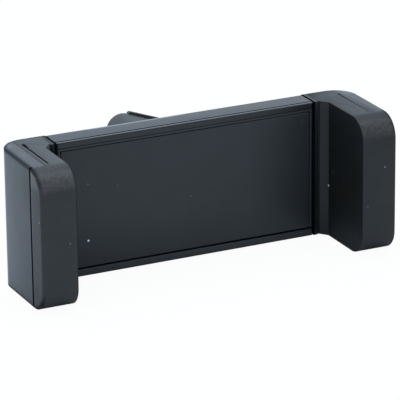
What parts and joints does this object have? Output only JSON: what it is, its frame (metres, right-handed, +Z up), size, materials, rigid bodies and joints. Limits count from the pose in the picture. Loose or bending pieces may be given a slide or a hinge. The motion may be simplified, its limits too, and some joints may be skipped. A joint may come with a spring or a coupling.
{
  "type": "air vent phone holder",
  "caption": "Black car phone holder with two sprung rubber-faced jaws that slide out of a flat channel, and a turning forked clip on the back for a vent blade.",
  "frame": {"origin": "centre of the front plate's face, where the back of the phone rests", "axes": "+X along the channel towards the right jaw as seen from the phone's side, +Y from the phone towards the vent, +Z up"},
  "size_m": [0.074, 0.0412, 0.0274],
  "materials": {
    "channel_plastic": "satin, fine moulded texture",
    "frame_plastic": "satin",
    "plate_plastic": "satin",
    "cover_plastic": "satin with a soft sheen",
    "arm_plastic": "matt",
    "clip_plastic": "matt",
    "pad_rubber": "matt rubber",
    "clip_rubber": "matt rubber",
    "ring_plastic": "natural nylon",
    "screw_steel": "zinc plated",
    "spring_steel": "drawn wire"
  },
  "bodies": {
    "holder": {"channel": "channel_plastic", "inner_frame": "frame_plastic", "front_plate": "plate_plastic", "case_screws": "screw_steel", "friction_ring": "ring_plastic", "return_spring_left": "spring_steel", "return_spring_right": "spring_steel"},
    "left_jaw": {"jaw_arm_left": "arm_plastic", "grip_pad_left": "pad_rubber", "jaw_cover_left": "cover_plastic", "cover_screws_left": "screw_steel"},
    "right_jaw": {"jaw_arm_right": "arm_plastic", "grip_pad_right": "pad_rubber", "jaw_cover_right": "cover_plastic", "cover_screws_right": "screw_steel"},
    "clip": {"clip_core": "clip_plastic", "prong_cover_upper": "clip_rubber", "prong_cover_lower": "clip_rubber", "clip_screw": "screw_steel", "clip_washer": "screw_steel"}
  },
  "joints": [
    {"name": "left_jaw_slide", "type": "slide", "parent": "holder", "child": "left_jaw", "axis": [-1, 0, 0], "range_m": [0, 0.013], "stiffness_N_per_m": 200, "springref_m": -0.006, "deforming": ["return_spring_left"]},
    {"name": "right_jaw_slide", "type": "slide", "parent": "holder", "child": "right_jaw", "axis": [1, 0, 0], "range_m": [0, 0.013], "stiffness_N_per_m": 200, "springref_m": -0.006, "deforming": ["return_spring_right"]},
    {"name": "clip_swivel", "type": "hinge", "parent": "holder", "child": "clip", "pos_m": [0, 0.0069, 0], "axis": [0, 1, 0], "continuous": true}
  ]
}
